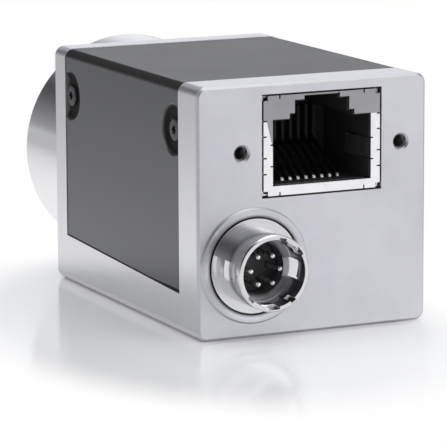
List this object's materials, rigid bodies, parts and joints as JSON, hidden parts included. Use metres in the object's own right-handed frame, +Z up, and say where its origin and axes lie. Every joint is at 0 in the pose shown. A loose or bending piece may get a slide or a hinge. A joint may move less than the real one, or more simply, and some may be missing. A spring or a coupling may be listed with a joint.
{
  "type": "machine vision camera",
  "caption": "Cube-shaped industrial camera: silver housing with dark folded cover, threaded lens mount in front, network socket and round power connector behind.",
  "frame": {"origin": "centre of the housing's bottom mounting face", "axes": "+Z up, +Y towards the connector side, the lens looks along -Y, and +X is on the round connector's side"},
  "size_m": [0.029, 0.059, 0.029],
  "materials": {
    "cast_silver": "satin, bead-blasted and clear coated",
    "cover_paint": "fine matte powder coat",
    "black_screw": "black oxide, slight sheen",
    "steel": "bright zinc",
    "ring_aluminium": "turned, clear anodised",
    "black_coating": "matte black anodised",
    "filter_glass": "coated, polished",
    "lid_glass": "polished",
    "black_rubber": "matte foam",
    "carrier_ceramic": "dark fired ceramic",
    "die_silicon": "polished, slightly iridescent",
    "board_green": "solder mask, semi-gloss",
    "black_plastic": "moulded, fine matte",
    "chip_black": "moulded, fine matte",
    "pad_grey": "soft silicone",
    "plated_shield": "nickel plated, bright",
    "plated_shell": "nickel plated, satin",
    "gold_contact": "gold plated"
  },
  "bodies": {
    "root": {"front_chassis": "cast_silver", "rear_plate": "cast_silver", "top_cover": "cover_paint", "cover_screws": "black_screw", "lens_mount_ring": "ring_aluminium", "filter_holder": "black_coating", "infrared_filter": "filter_glass", "filter_gasket": "black_rubber", "filter_retaining_ring": "black_coating", "sensor_package": "carrier_ceramic", "sensor_die": "die_silicon", "sensor_cover_glass": "lid_glass", "sensor_gasket": "black_rubber", "sensor_board": "board_green", "mezzanine_socket": "black_plastic", "mezzanine_plug": "black_plastic", "processor_board": "board_green", "processor_chip": "chip_black", "thermal_pad": "pad_grey", "memory_chip": "chip_black", "board_spacers": "steel", "board_screws": "steel", "interface_board": "board_green", "interface_header": "black_plastic", "interface_screws": "steel", "network_chip": "chip_black", "jack_shield": "plated_shield", "jack_housing": "black_plastic", "jack_contacts": "gold_contact", "jack_magnetics": "chip_black", "connector_shell": "plated_shell", "connector_insert": "black_plastic", "connector_pins": "gold_contact", "connector_nut": "plated_shell", "power_board": "board_green", "power_header": "black_plastic"}
  },
  "joints": []
}
